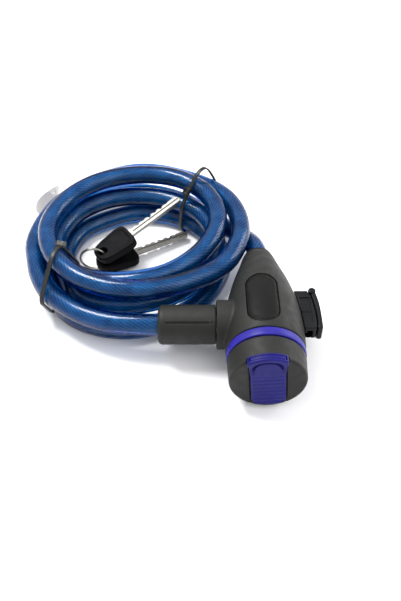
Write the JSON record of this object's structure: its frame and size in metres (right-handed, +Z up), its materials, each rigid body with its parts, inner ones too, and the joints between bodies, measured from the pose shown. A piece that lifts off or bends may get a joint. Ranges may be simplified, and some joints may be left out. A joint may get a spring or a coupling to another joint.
{
  "type": "cable lock",
  "caption": "Coiled clear blue cable lock with a teardrop key head, side-entry plug, sliding keyhole cover, slide-on frame bracket and keys on a ring.",
  "frame": {"origin": "on the floor, under the crossing of the locking head's axis and the plug's axis", "axes": "+Y from the keyhole face to the nose of the head, +X away from the cable plug, +Z up"},
  "size_m": [0.1767, 0.1865, 0.0432],
  "materials": {
    "soft_black": "soft-touch matte moulding",
    "gloss_black": "smooth semi-gloss moulding",
    "violet_blue": "satin blue moulding",
    "cable_jacket": "clear blue PVC over a twisted wire core",
    "steel": "plated steel",
    "zinc": "bare zinc casting",
    "brass": "turned brass",
    "rubber": "matt rubber",
    "tie_black": "nylon",
    "card": "blank white card"
  },
  "bodies": {
    "head": {"rear_housing": "soft_black", "top_inlay": "soft_black", "front_cap": "soft_black", "trim_ring": "violet_blue", "cover_guide": "violet_blue", "lock_barrel": "zinc", "plug_socket": "steel", "bolt_spring": "steel", "nose_ferrule": "steel", "ferrule_pin": "steel", "nose_grommet": "rubber", "head_screw_1": "steel", "head_screw_2": "steel", "cable_coil": "cable_jacket", "cable_lead_plug": "cable_jacket", "cable_lead_nose": "cable_jacket", "tie_left_strap": "tie_black", "tie_left_head": "tie_black", "tie_right_strap": "tie_black", "tie_right_head": "tie_black", "hang_tag": "card", "tag_string": "card"},
    "cover": {"keyhole_cover": "violet_blue"},
    "lock_core": {"key_cylinder": "brass", "cylinder_cam": "steel", "cam_screw": "steel"},
    "bolt": {"locking_bolt": "steel"},
    "plug": {"plug_pin": "steel", "plug_sleeve": "soft_black", "plug_ferrule": "zinc"},
    "bracket": {"bracket_shoe": "gloss_black", "bracket_flange": "gloss_black", "bracket_screw": "steel", "strap_post": "gloss_black"},
    "ring": {"key_ring": "steel"},
    "key_upper": {"key_upper_head": "gloss_black", "key_upper_blade": "steel"},
    "key_lower": {"key_lower_head": "gloss_black", "key_lower_blade": "steel"}
  },
  "joints": [
    {"name": "cover_slide", "type": "slide", "parent": "head", "child": "cover", "axis": [-0.0819, 0, 0.9966], "range_m": [0, 0.022]},
    {"name": "core_turn", "type": "hinge", "parent": "head", "child": "lock_core", "pos_m": [0, 0, 0.0212], "axis": [0, 1, 0], "range_deg": [0, 90]},
    {"name": "bolt_slide", "type": "slide", "parent": "head", "child": "bolt", "axis": [0, 0, -1], "range_m": [0, 0.0024], "deforming": ["bolt_spring"]},
    {"name": "plug_pull", "type": "slide", "parent": "head", "child": "plug", "axis": [-1, 0, 0], "range_m": [0, 0.032], "deforming": ["cable_lead_plug"]},
    {"name": "bracket_slide", "type": "slide", "parent": "head", "child": "bracket", "axis": [0, 1, 0], "range_m": [0, 0.03]},
    {"name": "keys_lift", "type": "slide", "parent": "head", "child": "ring", "axis": [0, 0, 1], "range_m": [0, 0.06]},
    {"name": "key_upper_swing", "type": "hinge", "parent": "ring", "child": "key_upper", "pos_m": [-0.095, 0.0665, 0.0136], "axis": [0, 0, 1], "range_deg": [-20, 0]},
    {"name": "key_lower_swing", "type": "hinge", "parent": "ring", "child": "key_lower", "pos_m": [-0.095, 0.0665, 0.0056], "axis": [0, 0, 1], "range_deg": [-24, 0]}
  ],
  "couplings": [
    {"joint": "core_turn", "follows": "bolt_slide", "rad_per_m": 654.5}
  ]
}
